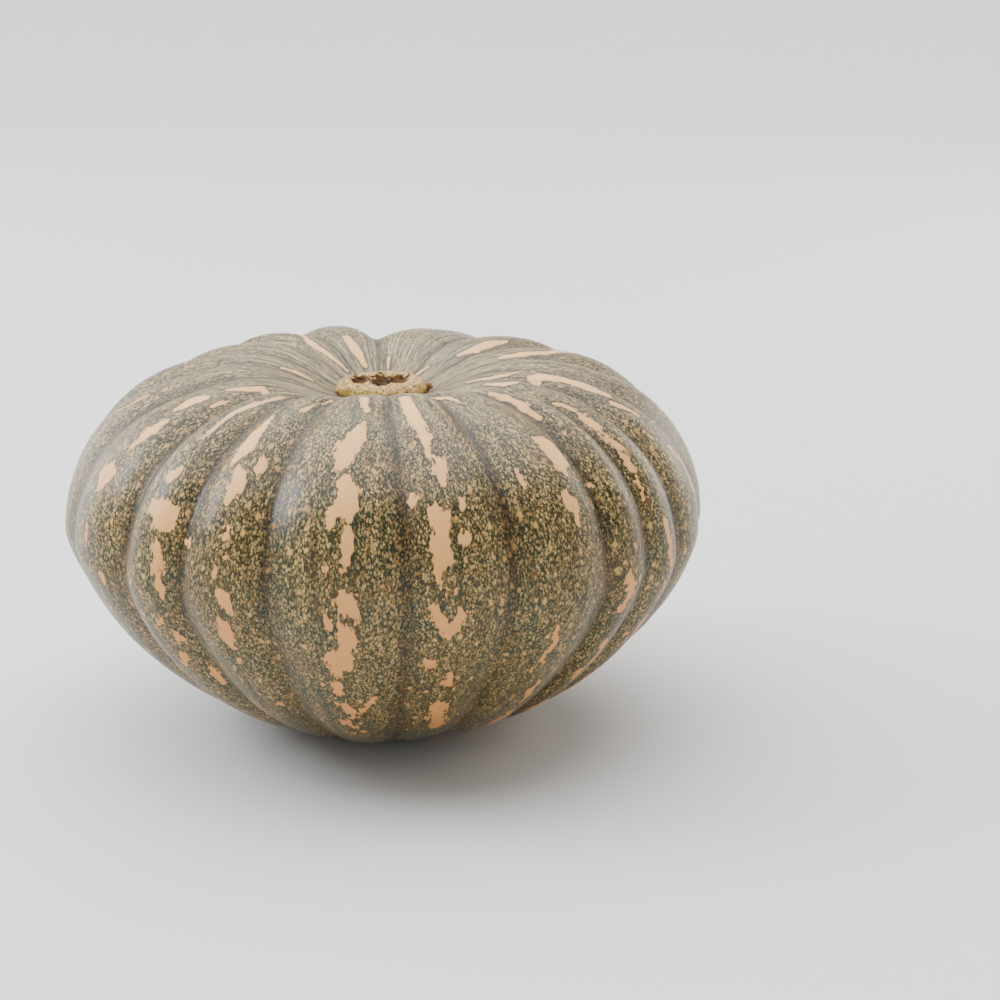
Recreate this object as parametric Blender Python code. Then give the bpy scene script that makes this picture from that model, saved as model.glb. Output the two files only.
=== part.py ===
"""A kabocha squash of the grey-green, mottled kind: a flattened, ribbed fruit with the corky
stump of its cut stem sunk in the dish on top, resting on the crowns of its ribs.

Metres, +Z up. The origin is on the resting surface, on the fruit's axis. Azimuths are in degrees:
0 points along -Y, 90 along +X. Both pieces start as balls whose points are moved by formulas.
"""

import math

import bmesh
import bpy
import numpy as np

MM = 0.001

# The fruit's section, without its ribs
FRUIT_RADIUS = 130.5 * MM
CREST_HEIGHT = 150.0 * MM
EQUATOR_HEIGHT = 84.0 * MM
UPPER_SHAPE = (3.9, 2.0)
LOWER_SHAPE = (2.25, 1.37)
BASE_DROP = 3.5 * MM

# The dish round the stem, and the dimple of the blossom end
DISH_RADIUS = 36.0 * MM
DISH_DEPTH = 17.0 * MM
DISH_SHAPE = 2.6
SEAT_RADIUS = 13.0 * MM
DIMPLE_RADIUS = 17.0 * MM
DIMPLE_DEPTH = 9.0 * MM
SCAR_RADIUS = 5.0 * MM

# The ribs: each furrow's azimuth and depth, and how far the rib after it crowns out, in mm
RIBS = [
    (-177.5, 5.8, 3.8),
    (-153.5, 3.2, 3.2),
    (-137.0, 5.6, 0.4),
    (-117.0, 3.5, 0.3),
    (-96.0, 4.0, -0.6),
    (-76.0, 4.0, -0.6),
    (-52.0, 6.5, 0.0),
    (-36.0, 4.5, 0.0),
    (-20.0, 4.0, 1.9),
    (3.0, 3.0, -0.6),
    (21.5, 3.5, 0.0),
    (42.5, 4.5, 0.0),
    (53.0, 3.5, 0.5),
    (65.0, 4.5, 0.6),
    (82.0, 3.0, 1.0),
    (101.0, 4.0, 1.7),
    (123.0, 4.5, 1.5),
    (146.5, 3.4, 1.3),
]
FURROW_WIDTH = 0.14
FURROW_SHARPNESS = 1.25

# The shares of the way from stem to blossom where the furrows begin and are full, where the
# crowns begin and are full, and where both start to fade and are gone
FURROWS_BEGIN, FURROWS_FULL = 0.07, 0.26
CROWNS_BEGIN, CROWNS_FULL = 0.12, 0.34
RIBS_FADE, RIBS_END = 0.64, 0.94

# Where the dish's lip lies lower: an azimuth, half a width in degrees and a depth in mm. The lip's
# middle and half its spread are shares of the way
LIP_DIPS = [(-46.0, 26.0, 3.2), (48.0, 20.0, 2.0)]
LIP_MIDDLE, LIP_SPREAD = 0.125, 0.055

# The stump of the stem
STUMP_RADIUS = 18.8 * MM
STUMP_TOP = 141.8 * MM
STUMP_EDGE_RUN = 6.0 * MM
STUMP_EDGE_DROP = 3.6 * MM
STUMP_SWAY = 0.9 * MM
STUMP_GAP = 0.35 * MM
FLARE_GAP = 0.7 * MM
FOOT_INSET = 0.5 * MM
# The waves that its outline sways in: how many to a turn, their share and their phase
STUMP_WAVES = [(3, 0.55, 0.6), (5, 0.3, 2.1), (8, 0.15, 0.0)]
# Each pit where the stem's core broke out: its middle across and back, its half sizes and its
# depth, in mm
STUMP_PITS = [
    (-8.8, 2.4, 3.2, 7.6, 2.4),
    (-0.4, 0.4, 4.2, 9.4, 2.8),
    (6.4, 2.2, 4.1, 7.4, 2.4),
]
PIT_SHARPNESS = 1.6

# How finely the balls are divided
COLUMNS_PER_RIB = 8
FRUIT_ROWS = 36
STUMP_COLUMNS = 48
STUMP_TOP_ROWS = 7
STUMP_EDGE_ROWS = 6
STUMP_FLARE_ROWS = 3
SECTION_POINTS = 1200


def clear_scene():
    for old in list(bpy.data.objects):
        bpy.data.objects.remove(old, do_unlink=True)


def smooth_step(value):
    value = np.clip(value, 0.0, 1.0)
    return value * value * (3.0 - 2.0 * value)


def upper_section():
    """Radius and height from the equator up over the crest to the middle of the dish."""
    turn = np.linspace(0.0, math.pi / 2, SECTION_POINTS)
    radius = FRUIT_RADIUS * np.cos(turn) ** (2 / UPPER_SHAPE[0])
    rise = (CREST_HEIGHT - EQUATOR_HEIGHT) * np.sin(turn) ** (2 / UPPER_SHAPE[1])
    dish = DISH_DEPTH * np.exp(-((radius / DISH_RADIUS) ** DISH_SHAPE))
    return radius, EQUATOR_HEIGHT + rise - dish


def lower_section():
    """Radius and height from the equator down to the middle of the blossom end."""
    turn = np.linspace(0.0, math.pi / 2, SECTION_POINTS)
    radius = FRUIT_RADIUS * np.cos(turn) ** (2 / LOWER_SHAPE[0])
    drop = (EQUATOR_HEIGHT + BASE_DROP) * np.sin(turn) ** (2 / LOWER_SHAPE[1])
    dimple = DIMPLE_DEPTH * np.exp(-((radius / DIMPLE_RADIUS) ** 2))
    return radius, EQUATOR_HEIGHT - drop + dimple


def section():
    """The fruit's section from the stem to the blossom end: radius, height, distance along it."""
    upper_radius, upper_height = upper_section()
    lower_radius, lower_height = lower_section()
    radius = np.concatenate([upper_radius[::-1], lower_radius[1:]])
    height = np.concatenate([upper_height[::-1], lower_height[1:]])
    steps = np.hypot(np.diff(radius), np.diff(height))
    return radius, height, np.concatenate([[0.0], np.cumsum(steps)])


def dish_height(radius):
    upper_radius, upper_height = upper_section()
    return np.interp(radius, upper_radius[::-1], upper_height[::-1])


def lip_dip(azimuth, share):
    """How far the dish's lip lies lower than the plain section."""
    dip = np.zeros(np.broadcast(azimuth, share).shape)
    for middle, half_width, depth in LIP_DIPS:
        dip += depth * MM * np.exp(-(((azimuth - middle) / half_width) ** 2))
    return dip * np.exp(-(((share - LIP_MIDDLE) / LIP_SPREAD) ** 2))


def rib_relief(azimuth, share):
    """How far the rind stands out of the plain section, at an azimuth and a share of the way."""
    furrows = np.array([rib[0] for rib in RIBS])
    depths = np.array([rib[1] for rib in RIBS]) * MM
    crowns = np.array([rib[2] for rib in RIBS]) * MM
    rib = np.clip(np.searchsorted(furrows, azimuth, side="right") - 1, 0, len(RIBS) - 1)
    start = furrows[rib]
    end = np.append(furrows[1:], furrows[0] + 360.0)[rib]
    across = (azimuth - start) / (end - start)

    swell = np.sqrt(np.sin(math.pi * across) ** 2 + FURROW_WIDTH**2) / math.hypot(1, FURROW_WIDTH)
    depth = depths[rib] + (np.roll(depths, -1)[rib] - depths[rib]) * smooth_step(across)
    furrow = depth * (1.0 - swell) ** FURROW_SHARPNESS
    furrow = furrow * smooth_step((share - FURROWS_BEGIN) / (FURROWS_FULL - FURROWS_BEGIN))
    crown = crowns[rib] * swell * smooth_step((share - CROWNS_BEGIN) / (CROWNS_FULL - CROWNS_BEGIN))
    ribs = (crown - furrow) * smooth_step((RIBS_END - share) / (RIBS_END - RIBS_FADE))
    return ribs - lip_dip(azimuth, share)


def fruit_rows():
    """The distance along the section of each row of points; the poles are the first and last."""
    length = section()[2][-1]
    between = np.linspace(SEAT_RADIUS, length - SCAR_RADIUS, FRUIT_ROWS - 1)
    return np.concatenate([[0.0], between, [length]])


def fruit_azimuths():
    """The azimuth of each column of points, with a column in every furrow."""
    furrows = [rib[0] for rib in RIBS] + [RIBS[0][0] + 360.0]
    azimuths = []
    for start, end in zip(furrows, furrows[1:]):
        azimuths.extend(np.linspace(start, end, COLUMNS_PER_RIB, endpoint=False))
    return np.array(azimuths)


def fruit_grid():
    """The fruit's points, by column and row. What would pass below the ground rests on it."""
    radius, height, along = section()
    rows = fruit_rows()
    row_radius = np.interp(rows, along, radius)
    row_height = np.interp(rows, along, height)
    slope_radius = np.interp(rows, along, np.gradient(radius, along))
    slope_height = np.interp(rows, along, np.gradient(height, along))

    azimuths = fruit_azimuths()
    relief = rib_relief(azimuths[:, None], rows[None, :] / along[-1])
    relief[:, [0, 1, -2, -1]] = 0.0
    grid_radius = row_radius - slope_height * relief
    grid_height = np.maximum(row_height + slope_radius * relief, 0.0)
    grid_height[:, 0] = grid_height[:, 1]
    return to_points(azimuths, grid_radius, grid_height)


def to_points(azimuths, radius, height):
    turn = np.radians(azimuths)[:, None]
    return np.stack([radius * np.sin(turn), -radius * np.cos(turn), height], axis=-1)


def stump_section():
    """Radius and height from the top's middle, round its edge, down the flare to the seat."""
    top_radius = np.linspace(0.0, STUMP_RADIUS - STUMP_EDGE_RUN, STUMP_TOP_ROWS, endpoint=False)
    top_height = np.full(STUMP_TOP_ROWS, STUMP_TOP)

    turn = np.linspace(math.pi / 2, 0.0, STUMP_EDGE_ROWS)
    edge_radius = STUMP_RADIUS - STUMP_EDGE_RUN * (1.0 - np.cos(turn))
    edge_height = STUMP_TOP - STUMP_EDGE_DROP * (1.0 - np.sin(turn))

    flare_radius = np.linspace(STUMP_RADIUS - STUMP_SWAY, SEAT_RADIUS, STUMP_FLARE_ROWS)
    flare_height = dish_height(flare_radius) + FLARE_GAP

    seat_height = float(dish_height(SEAT_RADIUS)) + STUMP_GAP
    radius = np.concatenate([top_radius, edge_radius, flare_radius, [SEAT_RADIUS - FOOT_INSET, 0.0]])
    height = np.concatenate([top_height, edge_height, flare_height, [seat_height, seat_height]])
    return radius, height


def stump_grid():
    """The stump's points: its outline sways, and pits are sunk in its top."""
    radius, height = stump_section()
    azimuths = np.arange(STUMP_COLUMNS) * 360.0 / STUMP_COLUMNS - 180.0
    turn = np.radians(azimuths)[:, None]
    sway = sum(share * np.sin(waves * turn + phase) for waves, share, phase in STUMP_WAVES)
    rise = smooth_step((height - height[-1]) / (STUMP_TOP - STUMP_EDGE_DROP - height[-1]))
    grid_radius = radius + STUMP_SWAY * sway * rise * radius / STUMP_RADIUS
    points = to_points(azimuths, grid_radius, np.broadcast_to(height, grid_radius.shape))

    on_top = np.arange(len(radius)) < STUMP_TOP_ROWS + STUMP_EDGE_ROWS - 1
    dip = np.zeros_like(grid_radius)
    for middle_x, middle_y, half_x, half_y, depth in STUMP_PITS:
        across = (points[..., 0] / MM - middle_x) / half_x
        back = (points[..., 1] / MM - middle_y) / half_y
        dip = np.maximum(dip, depth * MM * np.exp(-((across**2 + back**2) ** PIT_SHARPNESS)))
    points[..., 2] -= np.where(on_top, dip, 0.0)
    return points


def shaped_ball(name, grid, collection):
    """A ball with a point for each place in the grid, each then moved to its place."""
    columns, rows = grid.shape[0], grid.shape[1] - 1
    ball = bmesh.new()
    bmesh.ops.create_uvsphere(ball, u_segments=columns, v_segments=rows, radius=1.0)
    for vertex in ball.verts:
        row = round(math.acos(max(-1.0, min(1.0, vertex.co.z))) / math.pi * rows)
        turn = math.atan2(vertex.co.x, -vertex.co.y)
        column = round((turn + math.pi) / (2 * math.pi) * columns) % columns
        vertex.co = grid[column, row]
    bmesh.ops.triangulate(ball, faces=ball.faces, quad_method="SHORT_EDGE")
    mesh = bpy.data.meshes.new(name)
    ball.to_mesh(mesh)
    ball.free()
    mesh.shade_smooth()
    piece = bpy.data.objects.new(name, mesh)
    collection.objects.link(piece)
    return piece


def plain_material(name, color, roughness):
    material = bpy.data.materials.new(name)
    material.use_nodes = True
    shader = material.node_tree.nodes["Principled BSDF"]
    shader.inputs["Base Color"].default_value = (*color, 1.0)
    shader.inputs["Roughness"].default_value = roughness
    shader.inputs["Metallic"].default_value = 0.0
    return material


def make_fruit(collection):
    fruit = shaped_ball("squash_fruit", fruit_grid(), collection)
    fruit.data.materials.append(plain_material("mottled_rind", (0.15, 0.14, 0.09), 0.5))
    return fruit


def make_stump(collection):
    stump = shaped_ball("stem_stump", stump_grid(), collection)
    stump.data.materials.append(plain_material("corky_stem", (0.56, 0.40, 0.25), 0.85))
    return stump


def main():
    clear_scene()
    collection = bpy.data.collections.new("kabocha_squash")
    bpy.context.scene.collection.children.link(collection)
    make_fruit(collection)
    make_stump(collection)


main()
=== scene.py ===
"""The looks of a kabocha squash: a fine ribbed fruit with its mottled rind, and its corky stump.

Metres, +Z up, in the frame's own coordinates. Azimuths are in degrees: 0 points along -Y, 90
along +X. A place on the rind is an azimuth and a distance from the stem's middle down the rind.
"""

import math
import random

import bmesh
import bpy
import numpy as np
from mathutils import Matrix, Vector, noise


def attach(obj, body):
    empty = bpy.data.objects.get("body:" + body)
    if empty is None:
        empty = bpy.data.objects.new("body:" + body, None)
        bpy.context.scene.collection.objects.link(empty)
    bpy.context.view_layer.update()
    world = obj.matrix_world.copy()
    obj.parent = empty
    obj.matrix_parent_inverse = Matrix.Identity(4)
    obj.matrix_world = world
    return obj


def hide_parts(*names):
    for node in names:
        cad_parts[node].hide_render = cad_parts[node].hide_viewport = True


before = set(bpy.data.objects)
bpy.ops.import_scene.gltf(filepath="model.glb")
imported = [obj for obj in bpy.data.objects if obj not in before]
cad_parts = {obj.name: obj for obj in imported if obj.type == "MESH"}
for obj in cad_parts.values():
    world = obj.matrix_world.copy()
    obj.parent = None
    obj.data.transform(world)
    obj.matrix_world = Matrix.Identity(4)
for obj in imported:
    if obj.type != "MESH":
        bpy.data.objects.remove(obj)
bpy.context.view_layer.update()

MM = 0.001

# The camera: where the photograph was taken from, and where it shows the aim, in its 1000 px
VIEW_ELEVATION = math.radians(17.0)
VIEW_DISTANCE = 1.05
AIM = Vector((0.0, 0.0, 0.077))
AIM_PIXEL = (383.5, 529.5)
PICTURE_SIZE = 1000.0
FOCAL_PIXELS = 2530.0
SENSOR_WIDTH = 36.0

# The fruit's section, without its ribs
FRUIT_RADIUS = 130.5 * MM
CREST_HEIGHT = 150.0 * MM
EQUATOR_HEIGHT = 84.0 * MM
UPPER_SHAPE = (3.9, 2.0)
LOWER_SHAPE = (2.25, 1.37)
BASE_DROP = 3.5 * MM
DISH_RADIUS = 36.0 * MM
DISH_DEPTH = 17.0 * MM
DISH_SHAPE = 2.6
DIMPLE_RADIUS = 17.0 * MM
DIMPLE_DEPTH = 9.0 * MM

# The ribs: each furrow's azimuth and depth, how far the rib after it crowns out, and how far down
# the rind the photograph shows that rib, all but the azimuth in mm
RIBS = [
    (-177.5, 5.8, 3.8, 88),
    (-153.5, 3.2, 3.2, 92),
    (-137.0, 5.6, 0.4, 100),
    (-117.0, 3.5, 0.3, 112),
    (-96.0, 4.0, -0.6, 145),
    (-76.0, 4.0, -0.6, 400),
    (-52.0, 6.5, 0.0, 400),
    (-36.0, 4.5, 0.0, 400),
    (-20.0, 4.0, 1.9, 400),
    (3.0, 3.0, -0.6, 400),
    (21.5, 3.5, 0.0, 178),
    (42.5, 4.5, 0.0, 160),
    (53.0, 3.5, 0.5, 150),
    (65.0, 4.5, 0.6, 140),
    (82.0, 3.0, 1.0, 118),
    (101.0, 4.0, 1.7, 102),
    (123.0, 4.5, 1.5, 94),
    (146.5, 3.4, 1.3, 88),
]
FURROW_WIDTH = 0.14
FURROW_SHARPNESS = 1.25
FURROW_WANDER = 0.7
WANDER_WAVES, WANDER_TURN = 9.0, 0.07
FURROWS_BEGIN, FURROWS_FULL = 0.07, 0.26
CROWNS_BEGIN, CROWNS_FULL = 0.12, 0.34
RIBS_FADE, RIBS_END = 0.64, 0.94

# Where the dish's lip lies lower: an azimuth, half a width in degrees and a depth in mm
LIP_DIPS = [(-46.0, 26.0, 3.2), (48.0, 20.0, 2.0)]
LIP_MIDDLE, LIP_SPREAD = 0.125, 0.055

# The rind's unevenness: how far it lifts the rind and how big its lumps are, in mm, and a seed.
# It starts and ends within these shares of the way from the stem and the blossom end
RIND_LUMPS = [(0.7, 34.0, 3.0), (0.16, 8.0, 9.0)]
LUMPS_BEGIN, LUMPS_END = 0.06, 0.10

# The blossom scar: a sunk disc with a raised rim and a small tip, by shares of the way down
SCAR_BEGIN, SCAR_RUN, SCAR_DEPTH = 0.968, 0.012, 0.5 * MM
RIM_MIDDLE, RIM_SPREAD, RIM_RISE = 0.972, 0.007, 0.7 * MM
TIP_BEGIN, TIP_RUN, TIP_RISE = 0.992, 0.008, 1.4 * MM

# The stump of the stem
SEAT_RADIUS = 13.0 * MM
STUMP_RADIUS = 18.8 * MM
STUMP_TOP = 141.8 * MM
STUMP_EDGE_RUN = 6.0 * MM
STUMP_EDGE_DROP = 3.6 * MM
STUMP_SWAY = 0.9 * MM
STUMP_GAP = 0.35 * MM
FLARE_GAP = 0.7 * MM
FOOT_INSET = 0.5 * MM
STUMP_WAVES = [(3, 0.55, 0.6), (5, 0.3, 2.1), (8, 0.15, 0.0)]
# Each pit: its middle across and back, its half sizes and its depth, in mm
STUMP_PITS = [
    (-8.8, 2.4, 3.2, 7.6, 2.4),
    (-0.4, 0.4, 4.2, 9.4, 2.8),
    (6.4, 2.2, 4.1, 7.4, 2.4),
]

# How steep the sides of the pits are, and the depth in mm that is painted fully dark, by the core's
# own colour and painted shade
PIT_SHARPNESS = 2.2
PIT_DEEPEST = 3.0
# The ragged edge of the pits, the lumps of the top and the wear of the sides: how strong, how
# big in mm, and a seed
PIT_EDGE = (0.30, 2.2, 5.0)
TOP_LUMPS = [(0.55, 4.5, 12.0), (0.35, 1.6, 20.0)]
SIDE_WEAR = (0.5, 2.4, 31.0)
SIDE_LUMPS = 0.35
WEAR_FROM, WEAR_LEAST = 8.0 * MM, 6.0 * MM

# The scrap of dry skin: its half sizes and its middle in mm, its curl and its crumpling
SCRAP_HALF_SIZE = (1.8, 0.5, 1.6)
SCRAP_PLACE = (18.6, 0.0, 138.6)
SCRAP_CURL = 0.25 / (1.9 * MM)
SCRAP_CRUMPLE = (0.7, 0.55, 4.0)
SCRAP_COLUMNS, SCRAP_ROWS = 24, 16

# How finely the meshes are cut
COLUMNS_PER_RIB = 30
FRUIT_ROWS = 178
STUMP_COLUMNS = 180
SECTION_POINTS = 2400
TOP_ROWS, EDGE_ROWS, FLARE_ROWS = 34, 22, 9

# The tan patches that the photograph shows. Each is a stroke of points: a pixel across, a pixel
# down, and half the patch's width there in mm of rind
PATCHES_SEEN = [
    # The middle rib's chain
    [(365, 423, 0.9), (357, 435, 3.8), (350, 449, 5.4), (339, 466, 2.4)],
    [(343, 482, 2.8), (351, 496, 4.4), (347, 507, 4.4), (350, 521, 2.2)],
    [(347, 510, 3.4), (330, 513, 2.6), (332, 526, 2.1)],
    [(346, 533, 3.2), (348, 548, 3.3), (349, 563, 1.7)],
    [(348, 575, 1.3)],
    [(328, 569, 1.1), (329, 577, 1.2)],
    [(346, 599, 3.4), (348, 607, 4.8), (354, 616, 2.8), (357, 622, 1.2)],
    [(328, 619, 2.4), (331, 625, 2.2)],
    [(337, 627, 1.6), (345, 633, 3.6), (349, 644, 3.8), (346, 652, 2.6)],
    [(330, 659, 3.0), (340, 662, 5.4), (349, 657, 3.2)],
    [(341, 664, 4.6), (338, 673, 2.4)],
    [(338, 686, 2.6), (338, 693, 2.3)],
    [(343, 705, 2.8), (350, 710, 2.5), (352, 718, 1.5)],
    [(376, 696, 1.2), (370, 703, 2.4), (362, 711, 1.7)],
    [(345, 722, 2.5), (352, 728, 1.6)],
    [(349, 733, 1.4), (366, 731, 1.4)],
    # The chain to its right
    [(404, 398, 2.2), (410, 410, 2.8), (417, 424, 2.9), (425, 440, 2.6), (431, 456, 1.4)],
    [(441, 461, 2.2), (439, 470, 3.6), (442, 483, 2.2)],
    [(413, 493, 1.9), (414, 502, 2.6)],
    [(459, 499, 1.3), (461, 508, 2.2)],
    [(437, 511, 2.8), (441, 521, 4.6), (438, 541, 3.2), (444, 554, 4.4)],
    [(444, 554, 4.2), (439, 568, 2.6), (437, 579, 1.4)],
    [(461, 540, 3.0)],
    [(446, 594, 1.5), (452, 591, 2.1)],
    [(436, 610, 2.5), (440, 624, 3.5), (449, 632, 3.9), (458, 627, 3.2), (464, 615, 2.8)],
    [(430, 661, 3.0), (430, 669, 2.3)],
    [(450, 675, 1.7), (446, 686, 2.2)],
    [(427, 692, 1.5)],
    [(439, 703, 2.8), (438, 715, 4.1), (437, 725, 3.2)],
    # The chains to its left
    [(274, 416, 1.0), (258, 430, 3.0), (246, 447, 4.0), (234, 463, 2.0)],
    [(263, 457, 1.6), (259, 467, 2.4), (257, 473, 1.5)],
    [(240, 472, 2.6), (235, 486, 4.0), (227, 500, 1.8)],
    [(229, 526, 1.9), (228, 535, 1.6)],
    [(226, 558, 1.4)],
    [(214, 571, 1.9), (214, 578, 1.7)],
    [(222, 598, 3.3), (226, 606, 3.4)],
    [(222, 624, 2.4), (226, 636, 3.5), (229, 646, 2.3)],
    [(239, 660, 1.3)],
    [(208, 664, 1.4), (214, 674, 2.3), (221, 684, 1.4)],
    [(249, 698, 1.4), (258, 708, 2.3), (266, 716, 1.9)],
    [(280, 705, 1.5)],
    [(181, 468, 2.0), (170, 477, 3.0)],
    [(151, 508, 3.2), (162, 513, 6.2), (171, 509, 3.4)],
    [(162, 517, 5.8), (166, 527, 4.0)],
    [(185, 538, 2.6)],
    [(155, 541, 1.5), (156, 556, 2.7), (160, 578, 2.5), (165, 597, 1.2)],
    [(160, 614, 1.5), (162, 624, 1.4)],
    [(178, 632, 2.5), (182, 641, 2.4)],
    [(184, 656, 1.9), (187, 664, 1.9)],
    [(109, 467, 3.4), (105, 476, 6.0), (101, 485, 3.8)],
    [(167, 421, 1.5), (150, 432, 3.8), (134, 445, 1.9)],
    [(86, 527, 2.0), (86, 541, 1.6)],
    [(99, 540, 1.9)],
    [(113, 522, 1.3)],
    [(100, 572, 2.0), (104, 580, 1.8)],
    # The streaks on the shoulder at the left
    [(207, 396, 2.2), (191, 403, 3.4), (176, 410, 1.6)],
    [(239, 399, 0.6), (226, 402, 1.2), (213, 405, 0.8)],
    [(293, 394, 0.9), (280, 392, 1.6), (262, 390, 2.0), (243, 390, 1.8), (229, 389, 0.8)],
    [(289, 396, 0.6), (265, 400, 1.2), (236, 412, 1.5), (217, 426, 1.4), (201, 437, 0.8)],
    [(148, 395, 0.8), (131, 404, 1.6), (117, 413, 1.2)],
    # Round the stem
    [(364, 398, 1.9), (366, 411, 1.5)],
    [(333, 400, 0.6), (313, 405, 1.1), (299, 412, 1.0)],
    [(432, 397, 0.8), (449, 398, 1.2), (465, 404, 0.8)],
    [(347, 372, 0.7), (333, 359, 1.4), (315, 345, 1.7), (297, 333, 1.0)],
    [(365, 366, 1.2), (356, 350, 2.4), (346, 337, 1.7)],
    [(313, 381, 0.8), (297, 373, 1.5), (280, 367, 0.9)],
    [(388, 369, 0.6), (389, 356, 0.7)],
    [(414, 376, 0.6), (429, 366, 0.8)],
    # The right side
    [(458, 356, 1.1), (475, 349, 2.6), (492, 343, 2.6), (507, 341, 1.2)],
    [(484, 384, 0.9), (505, 384, 1.6), (524, 383, 1.8), (540, 383, 1.3)],
    [(530, 377, 2.2), (544, 377, 3.3), (575, 382, 3.8), (596, 390, 3.0), (608, 396, 2.0)],
    [(466, 382, 0.8), (490, 377, 1.2), (510, 374, 1.2), (534, 372, 0.8)],
    [(500, 358, 1.3), (520, 355, 1.8), (545, 353, 2.1), (575, 353, 1.4)],
    [(489, 392, 0.8), (505, 397, 1.4), (523, 406, 1.4), (541, 419, 0.9)],
    [(541, 439, 3.0), (550, 448, 5.6), (557, 457, 5.2), (563, 471, 2.4)],
    [(516, 470, 1.4), (522, 480, 1.6)],
    [(567, 490, 2.0), (570, 503, 3.0), (576, 515, 2.2), (579, 526, 1.6)],
    [(586, 478, 1.2), (589, 486, 1.4)],
    [(552, 402, 0.7), (570, 409, 1.2), (587, 419, 1.5), (603, 434, 1.5), (618, 450, 1.6)],
    [(618, 450, 1.6), (632, 468, 1.8), (640, 484, 1.7), (643, 497, 1.1)],
    [(610, 402, 1.2), (624, 407, 2.1), (639, 416, 1.2)],
    [(655, 420, 1.4), (664, 430, 2.3), (673, 446, 1.6)],
    [(668, 446, 1.6), (679, 459, 2.3), (687, 473, 1.5)],
    [(645, 431, 1.2), (650, 437, 1.0)],
]
PATCH_SEED = 41
PATCH_REACH = 12.0

# The patches of the sides that the photograph doesn't show, in mm: where they end before the
# blossom end, how far down they are long streaks, and how long the shorter ones are
HIDDEN_END = 38
STREAKS_END = 118
HIDDEN_RUNS = [5, 9, 14, 22, 30]
STROKE_STEPS = 4
SPOT_CHANCE = 0.45

# The flecks: the size of their cells in mm, and the girth at which each coarser layer begins to
# take over and has done so, because the ribs draw together towards both ends
FINEST_FLECKS = 0.86
COARSER_FLECKS = [(1.5, 0.66, 0.50), (3.0, 0.40, 0.27)]
FLECK_HEIGHT = 0.58
SPECK_SIZE = 0.58

# The light from all round: how strong it is at the horizon and overhead, and between which
# sines of the elevation it changes
HORIZON_LIGHT, HIGH_LIGHT = 1.2, 0.42
HORIZON_SINE, HIGH_SINE = 0.06, 0.36

# The floor, and the lights: where each comes from, its size, its power and its colour
FLOOR_HALF_SIZE = 15.0
FLOOR_DROP = 0.2 * MM
FLOOR_COLOR = (0.70, 0.70, 0.70)
OVERHEAD_DIRECTION, OVERHEAD_SPREAD, OVERHEAD_STRENGTH = (-0.14, 0.32, 1.0), 85.0, 5.6
LIGHTS_AIM = (0.0, 0.0, 0.08)
SOFTBOXES = [
    ("key", (-1.2, 0.15, 0.85), 0.6, 18.0, (0.88, 0.93, 1.0)),
    ("left_back", (-1.2, 1.1, 0.5), 0.9, 9.0, (1.0, 1.0, 1.0)),
    ("right_back", (1.2, 0.9, 0.55), 0.9, 12.0, (1.0, 0.95, 0.86)),
]


def smooth_step(value):
    value = np.clip(value, 0.0, 1.0)
    return value * value * (3.0 - 2.0 * value)


def upper_section():
    """Radius and height from the equator up over the crest to the middle of the dish."""
    turn = np.linspace(0.0, math.pi / 2, SECTION_POINTS)
    radius = FRUIT_RADIUS * np.cos(turn) ** (2 / UPPER_SHAPE[0])
    rise = (CREST_HEIGHT - EQUATOR_HEIGHT) * np.sin(turn) ** (2 / UPPER_SHAPE[1])
    dish = DISH_DEPTH * np.exp(-((radius / DISH_RADIUS) ** DISH_SHAPE))
    return radius, EQUATOR_HEIGHT + rise - dish


def lower_section():
    """Radius and height from the equator down to the middle of the blossom end."""
    turn = np.linspace(0.0, math.pi / 2, SECTION_POINTS)
    radius = FRUIT_RADIUS * np.cos(turn) ** (2 / LOWER_SHAPE[0])
    drop = (EQUATOR_HEIGHT + BASE_DROP) * np.sin(turn) ** (2 / LOWER_SHAPE[1])
    dimple = DIMPLE_DEPTH * np.exp(-((radius / DIMPLE_RADIUS) ** 2))
    return radius, EQUATOR_HEIGHT - drop + dimple


def section():
    """The fruit's section from the stem to the blossom end: radius, height, distance along it."""
    upper_radius, upper_height = upper_section()
    lower_radius, lower_height = lower_section()
    radius = np.concatenate([upper_radius[::-1], lower_radius[1:]])
    height = np.concatenate([upper_height[::-1], lower_height[1:]])
    steps = np.hypot(np.diff(radius), np.diff(height))
    return radius, height, np.concatenate([[0.0], np.cumsum(steps)])


def dish_height(radius):
    upper_radius, upper_height = upper_section()
    return np.interp(radius, upper_radius[::-1], upper_height[::-1])


def rib_swell(azimuth, share):
    """The rib at each place, and how far it is swollen there: 0 in a furrow, 1 on the crown."""
    sway = np.sin(share * WANDER_WAVES + azimuth * WANDER_TURN) * np.sin(share * math.pi)
    azimuth = azimuth + FURROW_WANDER * sway
    furrows = np.array([rib[0] for rib in RIBS])
    rib = np.searchsorted(furrows, azimuth, side="right") - 1
    start = np.where(rib < 0, furrows[-1] - 360.0, furrows[rib])
    end = np.append(furrows[1:], furrows[0] + 360.0)[rib]
    end = np.where(rib < 0, furrows[0], end)
    across = (azimuth - start) / (end - start)
    swell = np.sqrt(np.sin(math.pi * across) ** 2 + FURROW_WIDTH**2) / math.hypot(1, FURROW_WIDTH)
    return rib % len(RIBS), across, swell


def lip_dip(azimuth, share):
    dip = 0.0
    for middle, half_width, depth in LIP_DIPS:
        dip = dip + depth * MM * np.exp(-(((azimuth - middle) / half_width) ** 2))
    return dip * np.exp(-(((share - LIP_MIDDLE) / LIP_SPREAD) ** 2))


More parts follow.
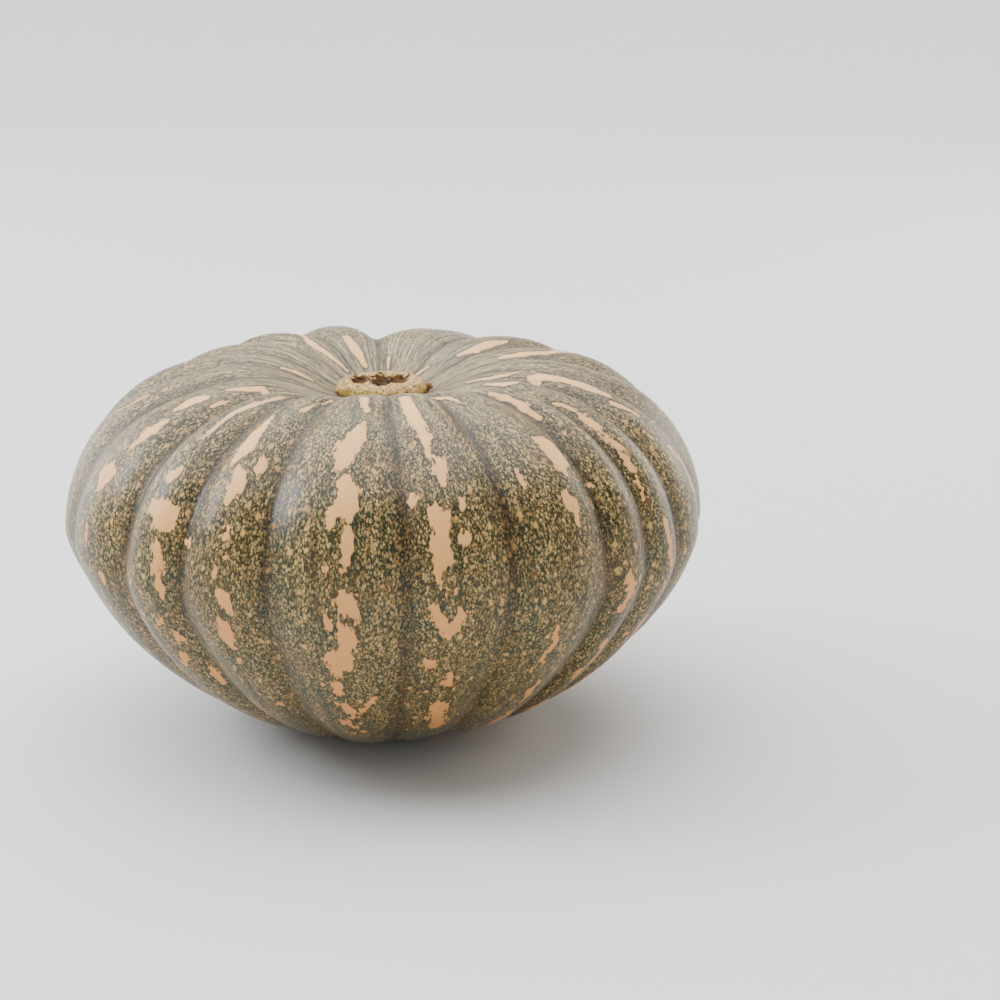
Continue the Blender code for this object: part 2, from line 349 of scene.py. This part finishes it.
def rib_relief(azimuth, share):
    """How far the rind stands out of the plain section, at an azimuth and a share of the way."""
    rib, across, swell = rib_swell(azimuth, share)
    depths = np.array([row[1] for row in RIBS]) * MM
    crowns = np.array([row[2] for row in RIBS]) * MM
    depth = depths[rib] + (np.roll(depths, -1)[rib] - depths[rib]) * smooth_step(across)
    furrow = depth * (1.0 - swell) ** FURROW_SHARPNESS
    furrow = furrow * smooth_step((share - FURROWS_BEGIN) / (FURROWS_FULL - FURROWS_BEGIN))
    crown = crowns[rib] * swell * smooth_step((share - CROWNS_BEGIN) / (CROWNS_FULL - CROWNS_BEGIN))
    ribs = (crown - furrow) * smooth_step((RIBS_END - share) / (RIBS_END - RIBS_FADE))
    return ribs - lip_dip(azimuth, share), swell


def to_points(azimuths, radius, height):
    turn = np.radians(azimuths)[:, None]
    return np.stack([radius * np.sin(turn), -radius * np.cos(turn), height], axis=-1)


def uneven(points, size, seed):
    """Smooth noise in -1 to 1 at each point, with lumps about this size."""
    offset = Vector((seed, 2.3 * seed, 0.7 * seed))
    flat = points.reshape(-1, 3) / size
    values = [noise.noise(Vector(place) + offset) for place in flat]
    return np.array(values).reshape(points.shape[:-1])


def shaped_ball(name, grid, values):
    """A ball with a point for each place in the grid, and a named value at each of its points."""
    columns, rows = grid.shape[0], grid.shape[1] - 1
    ball = bmesh.new()
    bmesh.ops.create_uvsphere(ball, u_segments=columns, v_segments=rows, radius=1.0)
    mesh = bpy.data.meshes.new(name)
    ball.to_mesh(mesh)
    ball.free()

    places = np.empty(len(mesh.vertices) * 3)
    mesh.vertices.foreach_get("co", places)
    places = places.reshape(-1, 3)
    row = np.rint(np.arccos(np.clip(places[:, 2], -1.0, 1.0)) / math.pi * rows).astype(int)
    turn = np.arctan2(places[:, 0], -places[:, 1])
    column = np.rint((turn + math.pi) / (2 * math.pi) * columns).astype(int) % columns
    mesh.vertices.foreach_set("co", grid[column, row].astype(np.float32).ravel())
    for value_name, value in values.items():
        kind = "FLOAT_VECTOR" if value.ndim == 3 else "FLOAT"
        attribute = mesh.attributes.new(value_name, kind, "POINT")
        slot = "vector" if value.ndim == 3 else "value"
        attribute.data.foreach_set(slot, value[column, row].astype(np.float32).ravel())
    mesh.update()
    mesh.shade_smooth()
    piece = bpy.data.objects.new(name, mesh)
    bpy.context.scene.collection.objects.link(piece)
    return piece


def camera_matrix():
    """The camera stands off from the aim, and turns so that the aim falls on its pixel."""
    away = Vector((0.0, -math.cos(VIEW_ELEVATION), math.sin(VIEW_ELEVATION)))
    eye = AIM + away * VIEW_DISTANCE
    right = Vector((1.0, 0.0, 0.0))
    up = away.cross(right)
    half = PICTURE_SIZE / 2
    look = up * (AIM_PIXEL[1] - half) - right * (AIM_PIXEL[0] - half) - away * FOCAL_PIXELS
    look.normalize()
    right = look.cross(Vector((0.0, 0.0, 1.0))).normalized()
    up = right.cross(look)
    matrix = Matrix((right, up, -look)).transposed().to_4x4()
    matrix.translation = eye
    return matrix


def pixels_of(points):
    """Where the photograph shows each point, across and down, and how far it is from the eye."""
    inverse = np.array(camera_matrix().inverted())
    seen = points @ inverse[:3, :3].T + inverse[:3, 3]
    depth = -seen[..., 2]
    half = PICTURE_SIZE / 2
    across = half + FOCAL_PIXELS * seen[..., 0] / depth
    down = half - FOCAL_PIXELS * seen[..., 1] / depth
    return across, down, depth


def place_under_pixel(pixel, across, down, depth, near=4.0, layer=12 * MM):
    """The index of the grid's point that the photograph shows nearest to a pixel."""
    distance = np.hypot(across - pixel[0], down - pixel[1])
    front = depth[distance < near].min() if (distance < near).any() else depth.min()
    hidden = depth > front + layer
    return np.unravel_index(np.argmin(distance + np.where(hidden, PICTURE_SIZE, 0.0)), distance.shape)


def seen_patches(points, azimuths, along):
    """The strokes of the patches that the photograph shows: azimuth, distance, half width."""
    across, down, depth = pixels_of(points)
    strokes = []
    for patch in PATCHES_SEEN:
        stroke = []
        for x, y, half_width in patch:
            column, row = place_under_pixel((x, y), across, down, depth)
            stroke.append((azimuths[column], along[row], half_width))
        strokes.append(stroke)
    return strokes


def hidden_patches(length):
    """Patches of the same kind for the sides that the photograph doesn't show."""
    draw = random.Random(PATCH_SEED)
    ends = [rib[0] for rib in RIBS[1:]] + [RIBS[0][0] + 360.0]
    strokes = []
    for (start, _, _, seen), end in zip(RIBS, ends):
        down = seen + draw.uniform(0, 8)
        while down < length / MM - HIDDEN_END:
            streaky = down < STREAKS_END
            middle = (start + end) / 2 + draw.uniform(-0.16, 0.16) * (end - start)
            if streaky:
                run, half = draw.uniform(16, 34), draw.uniform(1.0, 2.2)
            else:
                run, half = draw.choice(HIDDEN_RUNS), draw.uniform(1.6, 4.2)
            stroke = []
            for step in range(STROKE_STEPS):
                share = step / (STROKE_STEPS - 1)
                taper = 0.45 + 0.55 * math.sin(math.pi * min(0.95, share + 0.1))
                stroke.append((
                    middle + draw.uniform(-1.0, 1.0),
                    (down + run * share) * MM,
                    half * taper * draw.uniform(0.75, 1.15),
                ))
            strokes.append(stroke)
            if draw.random() < SPOT_CHANCE:
                spot = middle + draw.choice([-1, 1]) * draw.uniform(2.5, 4.5)
                strokes.append([(spot, (down + run * 0.6) * MM, draw.uniform(0.9, 1.9))])
            down += run + 2 * half + draw.uniform(3, 13)
    return strokes


def patch_field(strokes, azimuths, radius, along):
    """At each place, how far it is inside a patch in mm; outside is negative."""
    field = np.full(radius.shape, -PATCH_REACH)
    for stroke in strokes:
        pairs = list(zip(stroke, stroke[1:])) or [(stroke[0], stroke[0])]
        for (azimuth_a, along_a, half_a), (azimuth_b, along_b, half_b) in pairs:
            turn = math.remainder(azimuth_b - azimuth_a, 360.0)
            away = np.remainder(azimuths[:, None] - azimuth_a + 180.0, 360.0) - 180.0
            x = np.radians(away) * radius / MM
            y = np.broadcast_to((along[None, :] - along_a) / MM, x.shape)
            run_x = math.radians(turn) * radius / MM
            run_y = (along_b - along_a) / MM
            reach = run_x**2 + run_y**2 + 1e-9
            share = np.clip((x * run_x + y * run_y) / reach, 0.0, 1.0)
            half = half_a + (half_b - half_a) * share
            inside = half - np.hypot(x - share * run_x, y - share * run_y)
            field = np.maximum(field, inside)
    return field


def make_fruit():
    radius, height, along = section()
    length = along[-1]
    rows = np.linspace(0.0, length, FRUIT_ROWS + 1)
    columns = COLUMNS_PER_RIB * len(RIBS)
    azimuths = np.arange(columns) * 360.0 / columns - 180.0
    share = rows[None, :] / length
    row_radius = np.interp(rows, along, radius)
    row_height = np.interp(rows, along, height)
    slope_radius = np.interp(rows, along, np.gradient(radius, along))
    slope_height = np.interp(rows, along, np.gradient(height, along))

    relief, swell = rib_relief(azimuths[:, None], share)
    plain = to_points(azimuths, np.broadcast_to(row_radius, relief.shape),
                      np.broadcast_to(row_height, relief.shape))
    ends = smooth_step(share / LUMPS_BEGIN) * smooth_step((1.0 - share) / LUMPS_END)
    for lift, size, seed in RIND_LUMPS:
        relief += lift * MM * uneven(plain, size * MM, seed) * ends
    scar = smooth_step((share - SCAR_BEGIN) / SCAR_RUN)
    rim = np.exp(-(((share - RIM_MIDDLE) / RIM_SPREAD) ** 2))
    tip = smooth_step((share - TIP_BEGIN) / TIP_RUN)
    relief += RIM_RISE * rim - SCAR_DEPTH * scar + TIP_RISE * tip
    grid_radius = np.maximum(row_radius - slope_height * relief, 0.0)
    grid_radius[:, [0, -1]] = 0.0
    grid_height = np.maximum(row_height + slope_radius * relief, 0.0)
    for pole in (0, -1):
        grid_height[:, pole] = grid_height[:, pole].mean()
    points = to_points(azimuths, grid_radius, grid_height)

    strokes = seen_patches(points, azimuths, rows) + hidden_patches(length)
    turn = np.radians(azimuths)[:, None]
    down = np.broadcast_to(rows / MM, relief.shape)
    around = FRUIT_RADIUS / MM
    rind = np.stack([around * np.cos(turn) + 0 * down, around * np.sin(turn) + 0 * down, down], -1)
    return shaped_ball("fruit_rind", points, {
        "rind": rind,
        "patch": patch_field(strokes, azimuths, grid_radius, rows),
        "crown": swell,
        "from_stem": np.broadcast_to(share, relief.shape),
        "girth": np.broadcast_to(row_radius / FRUIT_RADIUS, relief.shape),
        "scar": np.broadcast_to(scar, relief.shape),
    })


def stump_section():
    """Radius and height from the top's middle, round its edge, down the flare to the seat."""
    top_radius = np.linspace(0.0, STUMP_RADIUS - STUMP_EDGE_RUN, TOP_ROWS, endpoint=False)
    turn = np.linspace(math.pi / 2, 0.0, EDGE_ROWS)
    edge_radius = STUMP_RADIUS - STUMP_EDGE_RUN * (1.0 - np.cos(turn))
    edge_height = STUMP_TOP - STUMP_EDGE_DROP * (1.0 - np.sin(turn))
    flare_radius = np.linspace(STUMP_RADIUS - STUMP_SWAY, SEAT_RADIUS, FLARE_ROWS)
    flare_height = dish_height(flare_radius) + FLARE_GAP
    seat_height = float(dish_height(SEAT_RADIUS)) + STUMP_GAP
    radius = np.concatenate([top_radius, edge_radius, flare_radius, [SEAT_RADIUS - FOOT_INSET, 0.0]])
    height = np.concatenate([np.full(TOP_ROWS, STUMP_TOP), edge_height, flare_height,
                             [seat_height, seat_height]])
    return radius, height


def make_stump():
    radius, height = stump_section()
    azimuths = np.arange(STUMP_COLUMNS) * 360.0 / STUMP_COLUMNS - 180.0
    turn = np.radians(azimuths)[:, None]
    sway = sum(share * np.sin(waves * turn + phase) for waves, share, phase in STUMP_WAVES)
    rise = smooth_step((height - height[-1]) / (STUMP_TOP - STUMP_EDGE_DROP - height[-1]))
    grid_radius = radius + STUMP_SWAY * sway * rise * radius / STUMP_RADIUS
    points = to_points(azimuths, grid_radius, np.broadcast_to(height, grid_radius.shape))

    dip = np.zeros_like(grid_radius)
    edge, edge_size, edge_seed = PIT_EDGE
    for middle_x, middle_y, half_x, half_y, depth in STUMP_PITS:
        across = (points[..., 0] / MM - middle_x) / half_x
        back = (points[..., 1] / MM - middle_y) / half_y
        ragged = 1.0 + edge * uneven(points, edge_size * MM, edge_seed + depth)
        pit = np.exp(-(((across**2 + back**2) * ragged) ** PIT_SHARPNESS))
        dip = np.maximum(dip, depth * pit)
    on_top = smooth_step((height - (STUMP_TOP - STUMP_EDGE_DROP)) / STUMP_EDGE_DROP)
    lumps = sum(share * uneven(points, size * MM, seed) for share, size, seed in TOP_LUMPS)
    lift = (lumps * (SIDE_LUMPS + (1.0 - SIDE_LUMPS) * on_top) - dip * on_top) * rise
    points[..., 2] += lift * MM
    wear, wear_size, wear_seed = SIDE_WEAR
    outward = wear * uneven(points, wear_size * MM, wear_seed) * rise
    outward = outward * smooth_step(radius / WEAR_FROM)
    points[..., :2] *= (1.0 + outward * MM / np.maximum(radius, WEAR_LEAST))[..., None]
    for pole in (0, -1):
        points[:, pole] = points[:, pole].mean(axis=0)
    return shaped_ball("stem_cork", points, {
        # How deep each place lies in a pit, for the pits' dark core colour and painted shade
        "pit": np.clip(dip / PIT_DEEPEST, 0.0, 1.0),
        "height": np.broadcast_to((height - height[-1]) / (STUMP_TOP - height[-1]), dip.shape),
    })


class Nodes:
    """A material's nodes, added by short calls whose inputs are numbers or other nodes' sockets."""

    def __init__(self, name):
        self.material = bpy.data.materials.new(name)
        self.material.use_nodes = True
        self.tree = self.material.node_tree
        self.shader = self.tree.nodes["Principled BSDF"]

    def fill(self, socket, value):
        if isinstance(value, bpy.types.NodeSocket):
            self.tree.links.new(value, socket)
        elif isinstance(value, tuple) and len(value) == 3 and socket.type == "RGBA":
            socket.default_value = (*value, 1.0)
        else:
            socket.default_value = value

    def add(self, kind, inputs, output=0, **settings):
        node = self.tree.nodes.new(kind)
        for setting, value in settings.items():
            setattr(node, setting, value)
        for socket, value in inputs.items():
            self.fill(node.inputs[socket], value)
        return node.outputs[output]

    def value(self, name, output="Fac"):
        return self.add("ShaderNodeAttribute", {}, output, attribute_name=name)

    def math(self, operation, first, second=0.0):
        return self.add("ShaderNodeMath", {0: first, 1: second}, operation=operation)

    def step(self, value, low, high, to_low=0.0, to_high=1.0):
        places = {"Value": value, "From Min": low, "From Max": high, "To Min": to_low,
                  "To Max": to_high}
        return self.add("ShaderNodeMapRange", places, interpolation_type="SMOOTHSTEP")

    def mix(self, share, first, second, blend="MIX"):
        places = {0: share, 6: first, 7: second}
        return self.add("ShaderNodeMix", places, 2, data_type="RGBA", blend_type=blend)

    def blend(self, share, first, second):
        places = {0: share, 2: first, 3: second}
        return self.add("ShaderNodeMix", places)

    def stretch(self, vector, scale):
        places = {0: vector, 1: scale}
        return self.add("ShaderNodeVectorMath", places, operation="MULTIPLY")

    def shifted(self, vector, push, amount):
        """The vector, pushed about by a colour of noise."""
        places = {0: push, 1: (0.5, 0.5, 0.5)}
        centred = self.add("ShaderNodeVectorMath", places, operation="SUBTRACT")
        places = {0: centred, 1: (amount, amount, amount), 2: vector}
        return self.add("ShaderNodeVectorMath", places, operation="MULTIPLY_ADD")

    def noise(self, vector, size, detail=3.0, output="Fac"):
        places = {"Vector": vector, "Scale": 1.0 / size, "Detail": detail}
        return self.add("ShaderNodeTexNoise", places, output)

    def cells(self, vector, size, output, feature="F1"):
        places = {"Vector": vector, "Scale": 1.0 / size}
        return self.add("ShaderNodeTexVoronoi", places, output, feature=feature)

    def split(self, color):
        node = self.tree.nodes.new("ShaderNodeSeparateColor")
        self.tree.links.new(color, node.inputs[0])
        return node.outputs

    def bump(self, height, distance, strength, normal=None):
        places = {"Height": height, "Distance": distance, "Strength": strength}
        if normal is not None:
            places["Normal"] = normal
        return self.add("ShaderNodeBump", places)

    def finish(self, **inputs):
        for socket, value in inputs.items():
            self.fill(self.shader.inputs[socket.replace("_", " ")], value)
        return self.material


def srgb(red, green, blue):
    """A colour as a picture shows it, 0 to 255, made linear."""
    parts = [part / 255.0 for part in (red, green, blue)]
    return tuple(p / 12.92 if p <= 0.04045 else ((p + 0.055) / 1.055) ** 2.4 for p in parts)


def fleck_layer(nodes, place, size, least, most):
    """Blobs in their own cells: how strong the fleck is at each place, and each cell's draw."""
    distance = nodes.cells(place, size, "Distance")
    draw = nodes.split(nodes.cells(place, size, "Color"))
    edge = nodes.step(draw[0], 0.0, 1.0, least, most)
    inner = nodes.math("SUBTRACT", edge, 0.18)
    outer = nodes.math("ADD", edge, 0.12)
    return nodes.step(distance, outer, inner), draw


def flecks_of_size(nodes, rind, size):
    """Flecks a little taller than wide, with fainter specks between them."""
    warp = nodes.noise(rind, 1.5 * size, 2.0, "Color")
    bent = nodes.shifted(rind, warp, 0.95 * size)
    tall = nodes.stretch(bent, (1.0, 1.0, FLECK_HEIGHT))
    blobs, draw = fleck_layer(nodes, tall, size, 0.30, 0.60)
    specks, _ = fleck_layer(nodes, tall, SPECK_SIZE * size, 0.05, 0.62)
    return nodes.math("MAXIMUM", blobs, nodes.math("MULTIPLY", specks, 0.5)), draw


def flecks(nodes, rind, girth):
    """Flecks that keep their size where the ribs draw together, and a colour draw for each."""
    share, draw = flecks_of_size(nodes, rind, FINEST_FLECKS)
    hue, tint = draw[1], draw[2]
    for size, begin, full in COARSER_FLECKS:
        blobs, draw = flecks_of_size(nodes, rind, size)
        turn = nodes.step(girth, begin, full)
        share = nodes.blend(turn, share, blobs)
        hue = nodes.blend(turn, hue, draw[1])
        tint = nodes.blend(turn, tint, draw[2])
    return share, hue, tint


def rind_material():
    nodes = Nodes("mottled_rind")
    rind = nodes.value("rind", "Vector")
    patch = nodes.value("patch")
    crown = nodes.value("crown")
    from_stem = nodes.value("from_stem")
    girth = nodes.value("girth")

    fleck_share, hue, tint = flecks(nodes, rind, girth)
    bent = nodes.shifted(rind, nodes.noise(rind, 4.0, 2.0, "Color"), 2.4)
    bold, bold_draw = fleck_layer(nodes, nodes.stretch(bent, (1.0, 1.0, 0.7)), 2.2, 0.10, 0.50)
    bold = nodes.math("MULTIPLY", bold, nodes.step(bold_draw[1], 0.80, 0.84))

    # Streaks and clouds that follow the ribs
    along = nodes.stretch(rind, (1.0, 1.0, 0.14))
    streak = nodes.noise(along, 4.6, 4.0)
    cloud = nodes.noise(rind, 24.0, 3.0)
    dark = nodes.mix(streak, srgb(32, 34, 14), srgb(68, 60, 28))
    dark = nodes.mix(nodes.step(cloud, 0.44, 0.64), dark, srgb(34, 46, 24))
    stain = nodes.noise(nodes.stretch(rind, (1.0, 1.0, 0.5)), 3.0, 3.0)
    dark = nodes.mix(nodes.step(stain, 0.56, 0.72, 0.0, 0.7), dark, srgb(112, 72, 22))

    fleck = nodes.mix(hue, srgb(110, 98, 54), srgb(188, 162, 104))
    fleck = nodes.mix(nodes.step(tint, 0.74, 0.88, 0.0, 0.6), fleck, srgb(206, 150, 92))
    fleck = nodes.mix(nodes.step(tint, 0.18, 0.06, 0.0, 0.6), fleck, srgb(146, 112, 36))

    # On the shoulder the flecks are paler and the skin between them darker
    shoulder = nodes.step(from_stem, 0.50, 0.28, 0.0, 0.65)
    dark = nodes.mix(shoulder, dark, srgb(16, 20, 8))
    fleck = nodes.mix(nodes.math("MULTIPLY", shoulder, hue), fleck, srgb(236, 202, 138))

    # The streaks hold more flecks or fewer, and a few bold spots stand out
    crowd = nodes.step(streak, 0.32, 0.62, 0.52, 1.0)
    fleck_share = nodes.math("MULTIPLY", fleck_share, crowd)
    color = nodes.mix(fleck_share, dark, fleck)
    color = nodes.mix(nodes.math("MULTIPLY", bold, 0.8), color, srgb(214, 164, 96))

    # Towards the stem fine pale streaks run over the flecks
    hair = nodes.noise(nodes.stretch(rind, (1.0, 1.0, 0.08)), 2.6, 3.0)
    pale = nodes.mix(nodes.step(hair, 0.44, 0.60), srgb(66, 70, 44), srgb(206, 186, 142))
    near_stem = nodes.step(from_stem, 0.30, 0.07, 0.0, 0.44)
    color = nodes.mix(near_stem, color, pale)

    # Painted shade: the furrows are darkened where shade falls in them, with a darker painted crease
    # line along the middle
    furrow = nodes.step(crown, 0.60, 0.12, 0.0, 0.34)
    # Painted shade: a dark line down the middle of each furrow, stronger towards the stem
    crease_shade = nodes.step(crown, 0.28, 0.14, 0.0, 0.62)
    crease_shade = nodes.math("MULTIPLY", crease_shade, nodes.step(from_stem, 0.62, 0.34, 0.12, 1.0))
    furrow = nodes.math("ADD", furrow, crease_shade)
    color = nodes.mix(furrow, color, srgb(144, 134, 106), "MULTIPLY")

    # The tan patches, with edges torn along the ribs
    torn = nodes.noise(nodes.stretch(rind, (1.0, 1.0, 0.5)), 3.2, 4.0)
    tear = nodes.step(from_stem, 0.12, 0.46, 0.45, 1.9)
    ragged = nodes.math("MULTIPLY", nodes.step(torn, 0.2, 0.8, -1.0, 1.0), tear)
    ragged = nodes.math("ADD", ragged, 0.14)
    cell = nodes.cells(nodes.stretch(bent, (1.0, 1.0, 0.66)), 1.5, "Distance")
    nibble = nodes.step(cell, 0.1, 0.6, 0.32, -0.36)
    nibble = nodes.math("MULTIPLY", nibble, tear)
    edge = nodes.math("ADD", nodes.math("ADD", patch, ragged), nibble)
    patch_share = nodes.step(edge, -0.15, 0.35)
    halo = nodes.step(edge, -1.9, -0.2, 0.0, 0.55)
    color = nodes.mix(halo, color, dark)
    blush = nodes.noise(rind, 9.0, 3.0)
    tan = nodes.mix(blush, srgb(208, 144, 68), srgb(218, 152, 94))
    # Painted highlight: the patches are painted paler towards the stem, where the light from above
    # falls strongest
    tan = nodes.mix(nodes.step(from_stem, 0.60, 0.20, 0.0, 0.85), tan, srgb(252, 202, 134))
    mottle = nodes.noise(rind, 1.1, 2.0)
    tan = nodes.mix(nodes.step(mottle, 0.40, 0.75, 0.0, 0.3), tan, srgb(210, 148, 82))
    rim = nodes.step(edge, 1.4, 0.1, 0.0, 0.3)
    tan = nodes.mix(rim, tan, srgb(196, 142, 66))
    color = nodes.mix(patch_share, color, tan)

    # The blossom scar is dry cork
    scar = nodes.value("scar")
    cork = nodes.mix(nodes.noise(rind, 1.4, 4.0), srgb(120, 92, 60), srgb(186, 156, 116))
    color = nodes.mix(scar, color, cork)

    roughness = nodes.step(fleck_share, 0.0, 1.0, 0.40, 0.50)
    roughness = nodes.step(patch_share, 0.0, 1.0, roughness, 0.55)
    grain = nodes.math("ADD", fleck_share, nodes.math("MULTIPLY", patch_share, 0.8))
    normal = nodes.bump(grain, 0.00012, 0.5)
    normal = nodes.bump(nodes.noise(rind, 0.7, 3.0), 0.00010, 0.5, normal)
    normal = nodes.bump(nodes.noise(along, 3.0, 3.0), 0.0004, 0.5, normal)
    return nodes.finish(Base_Color=color, Roughness=roughness, Normal=normal,
                        Specular_IOR_Level=0.28, Coat_Weight=0.15, Coat_Roughness=0.18,
                        Sheen_Weight=0.08, Sheen_Roughness=0.35)


def cork_material():
    nodes = Nodes("stem_cork")
    place = nodes.add("ShaderNodeTexCoord", {}, "Object")
    pit = nodes.value("pit")
    height = nodes.value("height")
    fibre = nodes.noise(place, 1.2 * MM, 5.0)
    cloud = nodes.noise(place, 5.0 * MM, 3.0)
    cork = nodes.mix(nodes.step(fibre, 0.3, 0.7), srgb(156, 120, 72), srgb(228, 192, 138))
    cork = nodes.mix(nodes.step(cloud, 0.48, 0.62, 0.0, 0.4), cork, srgb(206, 150, 104))
    grey = nodes.noise(place, 3.0 * MM, 3.0)
    cork = nodes.mix(nodes.step(grey, 0.50, 0.62, 0.0, 0.6), cork, srgb(142, 134, 86))

    # Its skirt, where it runs into the rind, is yellow-green
    skirt = nodes.mix(nodes.noise(place, 1.6 * MM, 4.0), srgb(116, 96, 34), srgb(214, 182, 98))
    skirt = nodes.mix(nodes.step(nodes.noise(place, 3.4 * MM, 3.0), 0.55, 0.68), skirt,
                      srgb(62, 68, 44))
    low = nodes.math("ADD", height, nodes.step(cloud, 0.3, 0.7, -0.22, 0.22))
    color = nodes.mix(nodes.step(low, 0.92, 0.62), cork, skirt)

    # Fine cracks, and the pits painted dark: partly their own dark broken core, partly painted shade
    # that deepens with the pit's depth
    crack = nodes.cells(place, 2.6 * MM, "Distance", "DISTANCE_TO_EDGE")
    color = nodes.mix(nodes.step(crack, 0.05, 0.0, 0.0, 0.35), color, srgb(120, 80, 48))
    patchy = nodes.step(nodes.noise(place, 2.4 * MM, 4.0), 0.35, 0.65)
    dark = nodes.mix(patchy, srgb(26, 10, 0), srgb(92, 60, 18))
    frayed = nodes.noise(place, 2.0 * MM, 4.0)
    pit_core_and_shade = nodes.math("ADD", pit, nodes.step(frayed, 0.3, 0.7, -0.28, 0.28))
    color = nodes.mix(nodes.step(pit_core_and_shade, 0.06, 0.36), color, dark)
    normal = nodes.bump(fibre, 0.0005, 0.7)
    normal = nodes.bump(nodes.step(crack, 0.0, 0.08), 0.0004, 0.5, normal)
    return nodes.finish(Base_Color=color, Roughness=0.88, Normal=normal,
                        Specular_IOR_Level=0.2)


def scrap_material():
    nodes = Nodes("dry_scrap")
    place = nodes.add("ShaderNodeTexCoord", {}, "Object")
    fibre = nodes.noise(place, 0.9 * MM, 4.0)
    color = nodes.mix(fibre, srgb(136, 94, 68), srgb(204, 158, 122))
    return nodes.finish(Base_Color=color, Roughness=0.9, Normal=nodes.bump(fibre, 0.0005, 0.8))


def make_scrap():
    """A curled scrap of dry skin that stands at the stump's right end."""
    azimuths = np.arange(SCRAP_COLUMNS) * 360.0 / SCRAP_COLUMNS - 180.0
    tilt = np.linspace(0.0, math.pi, SCRAP_ROWS + 1)[None, :]
    shape = (SCRAP_COLUMNS, SCRAP_ROWS + 1)
    radius = np.broadcast_to(np.sin(tilt), shape)
    height = np.broadcast_to(np.cos(tilt), shape)
    points = to_points(azimuths, radius, height)
    crumple, size, seed = SCRAP_CRUMPLE
    points *= (1.0 + crumple * uneven(points, size, seed))[..., None]
    points *= np.array(SCRAP_HALF_SIZE) * MM
    points[..., 1] += SCRAP_CURL * points[..., 0] ** 2
    points += np.array(SCRAP_PLACE) * MM
    return shaped_ball("stem_scrap", points, {})


def make_camera():
    data = bpy.data.cameras.new("camera")
    data.sensor_width = SENSOR_WIDTH
    data.lens = SENSOR_WIDTH * FOCAL_PIXELS / PICTURE_SIZE
    camera = bpy.data.objects.new("camera", data)
    camera.matrix_world = camera_matrix()
    bpy.context.scene.collection.objects.link(camera)
    bpy.context.scene.camera = camera


def make_floor():
    floor = bmesh.new()
    bmesh.ops.create_grid(floor, x_segments=1, y_segments=1, size=FLOOR_HALF_SIZE)
    mesh = bpy.data.meshes.new("floor")
    floor.to_mesh(mesh)
    floor.free()
    piece = bpy.data.objects.new("floor", mesh)
    piece.location.z = -FLOOR_DROP
    bpy.context.scene.collection.objects.link(piece)
    nodes = Nodes("floor")
    mesh.materials.append(nodes.finish(Base_Color=FLOOR_COLOR, Roughness=0.9))


def add_softbox(name, place, size, power, color):
    data = bpy.data.lights.new(name, "AREA")
    data.shape = "SQUARE"
    data.size = size
    data.energy = power
    data.color = color
    light = bpy.data.objects.new(name, data)
    light.location = place
    beam = Vector(LIGHTS_AIM) - Vector(place)
    light.rotation_euler = beam.to_track_quat("-Z", "Y").to_euler()
    bpy.context.scene.collection.objects.link(light)


def add_overhead():
    """A wide even light that comes from a direction, as from a bank of softboxes."""
    data = bpy.data.lights.new("overhead", "SUN")
    data.angle = math.radians(OVERHEAD_SPREAD)
    data.energy = OVERHEAD_STRENGTH
    light = bpy.data.objects.new("overhead", data)
    light.rotation_euler = Vector(OVERHEAD_DIRECTION).to_track_quat("Z", "Y").to_euler()
    bpy.context.scene.collection.objects.link(light)


def make_world():
    """White light from all round, brightest at the horizon, where the pale floor runs into it."""
    world = bpy.data.worlds.new("studio")
    world.use_nodes = True
    tree = world.node_tree
    direction = tree.nodes.new("ShaderNodeTexCoord")
    parts = tree.nodes.new("ShaderNodeSeparateXYZ")
    strength = tree.nodes.new("ShaderNodeMapRange")
    strength.interpolation_type = "SMOOTHSTEP"
    strength.inputs["From Min"].default_value = HORIZON_SINE
    strength.inputs["From Max"].default_value = HIGH_SINE
    strength.inputs["To Min"].default_value = HORIZON_LIGHT
    strength.inputs["To Max"].default_value = HIGH_LIGHT
    background = tree.nodes["Background"]
    background.inputs["Color"].default_value = (1.0, 1.0, 1.0, 1.0)
    tree.links.new(direction.outputs["Generated"], parts.inputs[0])
    tree.links.new(parts.outputs["Z"], strength.inputs["Value"])
    tree.links.new(strength.outputs["Result"], background.inputs["Strength"])
    bpy.context.scene.world = world


def make_lights():
    add_overhead()
    for softbox in SOFTBOXES:
        add_softbox(*softbox)


def main():
    make_camera()
    make_floor()
    make_world()
    make_lights()

    fruit = make_fruit()
    fruit.data.materials.append(rind_material())
    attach(fruit, "root")
    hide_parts("squash_fruit")

    stump = make_stump()
    stump.data.materials.append(cork_material())
    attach(stump, "root")
    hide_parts("stem_stump")

    scrap = make_scrap()
    scrap.data.materials.append(scrap_material())
    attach(scrap, "root")


main()
